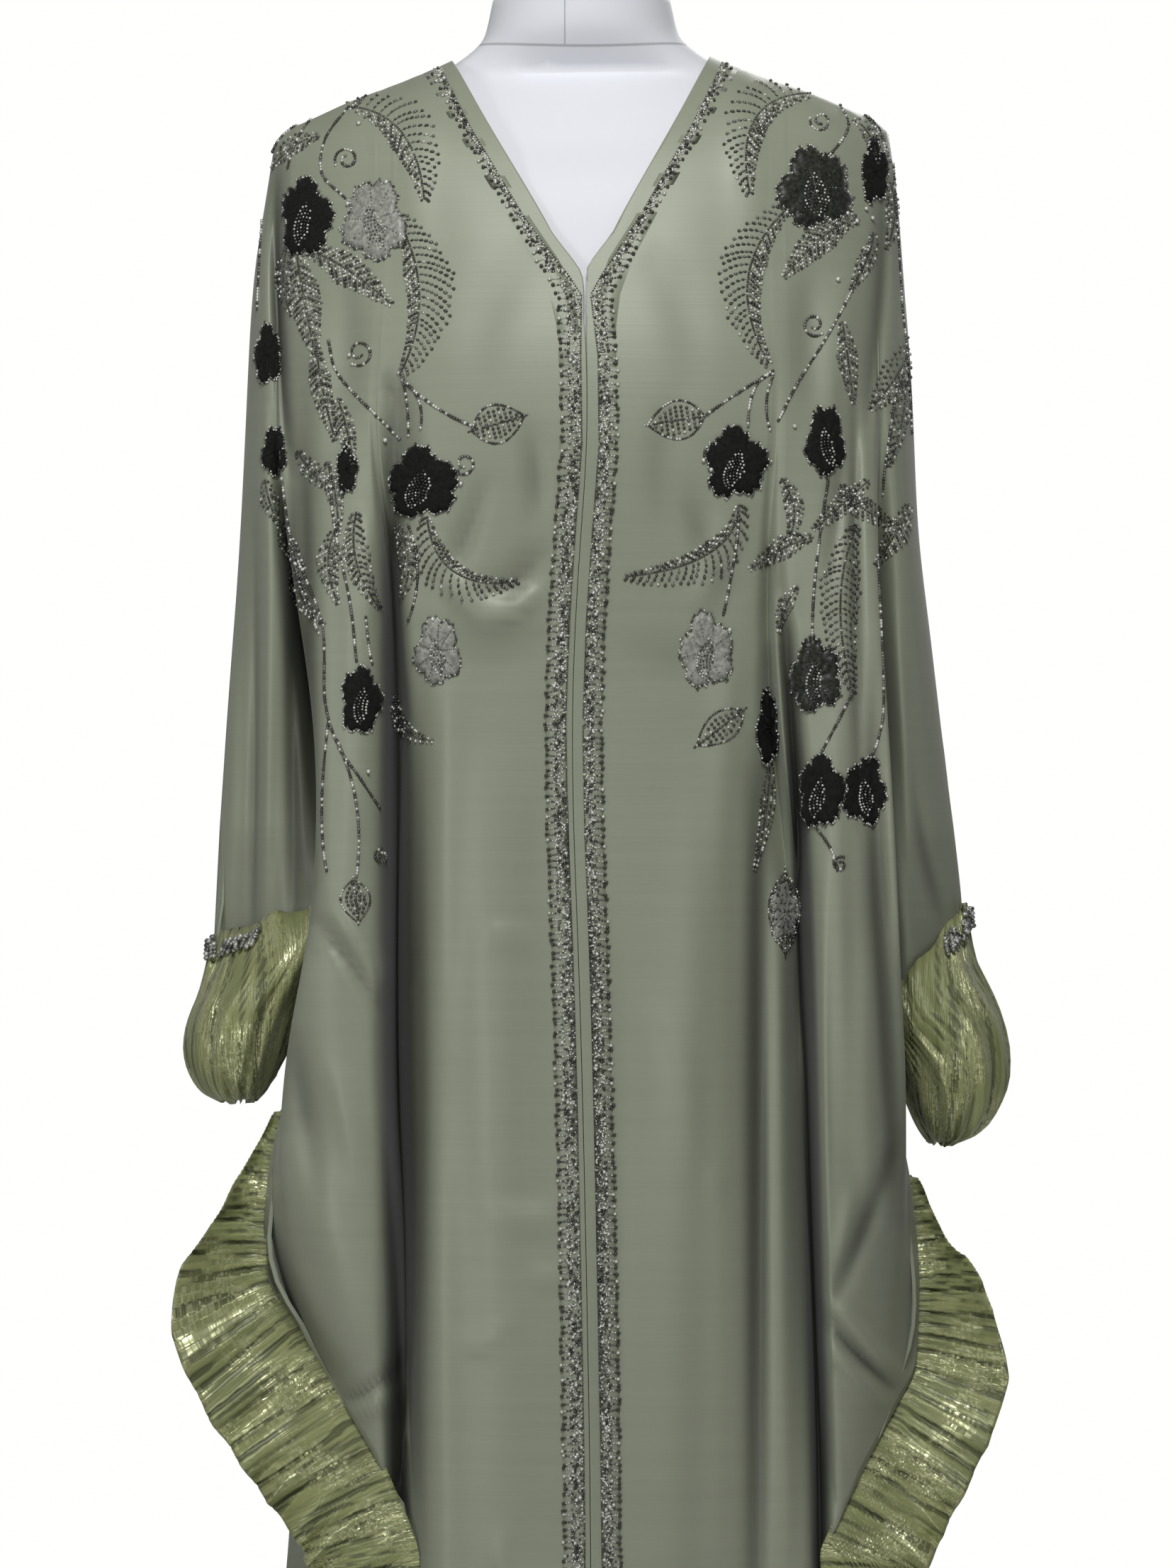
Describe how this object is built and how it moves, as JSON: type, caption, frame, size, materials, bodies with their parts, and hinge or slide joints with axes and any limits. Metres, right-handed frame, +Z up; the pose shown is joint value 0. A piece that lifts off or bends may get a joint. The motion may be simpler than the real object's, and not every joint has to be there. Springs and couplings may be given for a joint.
{
  "type": "abaya on a dress form",
  "caption": "Long open-front satin abaya with butterfly sleeves, balloon cuffs and gathered wing ruffles, worn on a limbless dress form on a round base.",
  "frame": {"origin": "centre of the underside of the dress form's base, on the floor", "axes": "+Z up, -Y towards the garment's front, +X towards the viewer's right as seen from the front"},
  "size_m": [0.5497, 0.3349, 1.5544],
  "materials": {
    "satin": "sage green satin with a soft sheen",
    "organza": "metallic olive and gold organza",
    "beads": "silver and gunmetal seed beads sewn in rows",
    "velvet": "black velvet applique",
    "form_cover": "white jersey stretched over foam",
    "metal": "satin steel"
  },
  "bodies": {
    "root": {"front_left": "satin", "front_right": "satin", "back": "satin", "balloon_cuff_left": "organza", "balloon_cuff_right": "organza", "wing_ruffle_left": "organza", "wing_ruffle_right": "organza", "bead_band_left": "beads", "bead_band_right": "beads", "wrist_band_left": "beads", "wrist_band_right": "beads", "applique_left_1": "velvet", "applique_left_2": "velvet", "applique_left_3": "velvet", "applique_left_4": "velvet", "applique_left_5": "velvet", "applique_right_1": "velvet", "applique_right_2": "velvet", "applique_right_3": "velvet", "applique_right_4": "velvet", "applique_right_5": "velvet", "applique_right_6": "velvet", "form_torso": "form_cover", "form_neck_cap": "form_cover", "form_pole": "metal", "form_base": "metal"}
  },
  "joints": []
}
